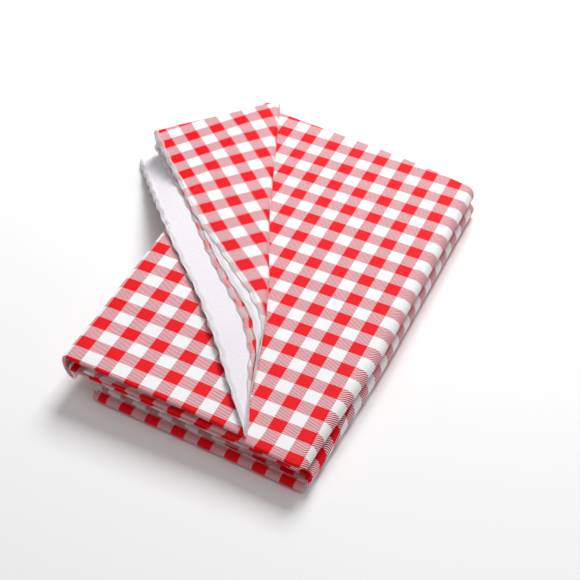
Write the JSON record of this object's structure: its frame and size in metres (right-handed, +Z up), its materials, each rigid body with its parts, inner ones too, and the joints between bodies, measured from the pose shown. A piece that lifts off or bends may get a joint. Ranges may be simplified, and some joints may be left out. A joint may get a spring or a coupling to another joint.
{
  "type": "folded tablecloth",
  "caption": "Folded flannel-backed gingham tablecloth packet with its serged free end turned back along a slanting crease.",
  "frame": {"origin": "middle of the flat underside of the four thick leaves, on the surface that the packet lies on", "axes": "+X across the packet towards its right-hand folds, +Y along the packet away from its folded near edge, +Z up from the underside"},
  "size_m": [0.3238, 0.399, 0.0435],
  "materials": {
    "print": "printed vinyl face, red and white gingham, soft gloss",
    "flannel": "brushed white flannel backing, matt",
    "thread": "white overlock thread"
  },
  "bodies": {
    "lower_leaves": {"bottom_leaf_lower_run": "print", "bottom_leaf_upper_run": "print", "second_leaf_lower_run": "print", "second_leaf_upper_run": "print", "third_leaf_lower_run": "print", "third_leaf_upper_run": "print"},
    "upper_leaves": {"fourth_leaf_lower_run": "print", "fourth_leaf_upper_run": "print", "top_leaf_ply_1": "print", "top_leaf_ply_2": "print", "top_leaf_ply_3": "print", "top_leaf_ply_4": "print"},
    "turned_end": {"turned_end_ply_1": "print", "turned_end_ply_2": "flannel", "turned_end_ply_3": "print", "turned_end_ply_4": "flannel", "edge_stitching_1": "thread", "edge_stitching_2": "thread", "edge_stitching_3": "thread", "edge_stitching_4": "thread"}
  },
  "joints": [
    {"name": "leaf_fold", "type": "hinge", "parent": "lower_leaves", "child": "upper_leaves", "pos_m": [0.1173, 0, 0.02175], "axis": [0, 1, 0], "range_deg": [0, 180]},
    {"name": "crease", "type": "hinge", "parent": "upper_leaves", "child": "turned_end", "pos_m": [-0.10322, 0.20511, 0.03735], "axis": [-0.3788, 0.9255, 0], "range_deg": [0, 180]}
  ]
}
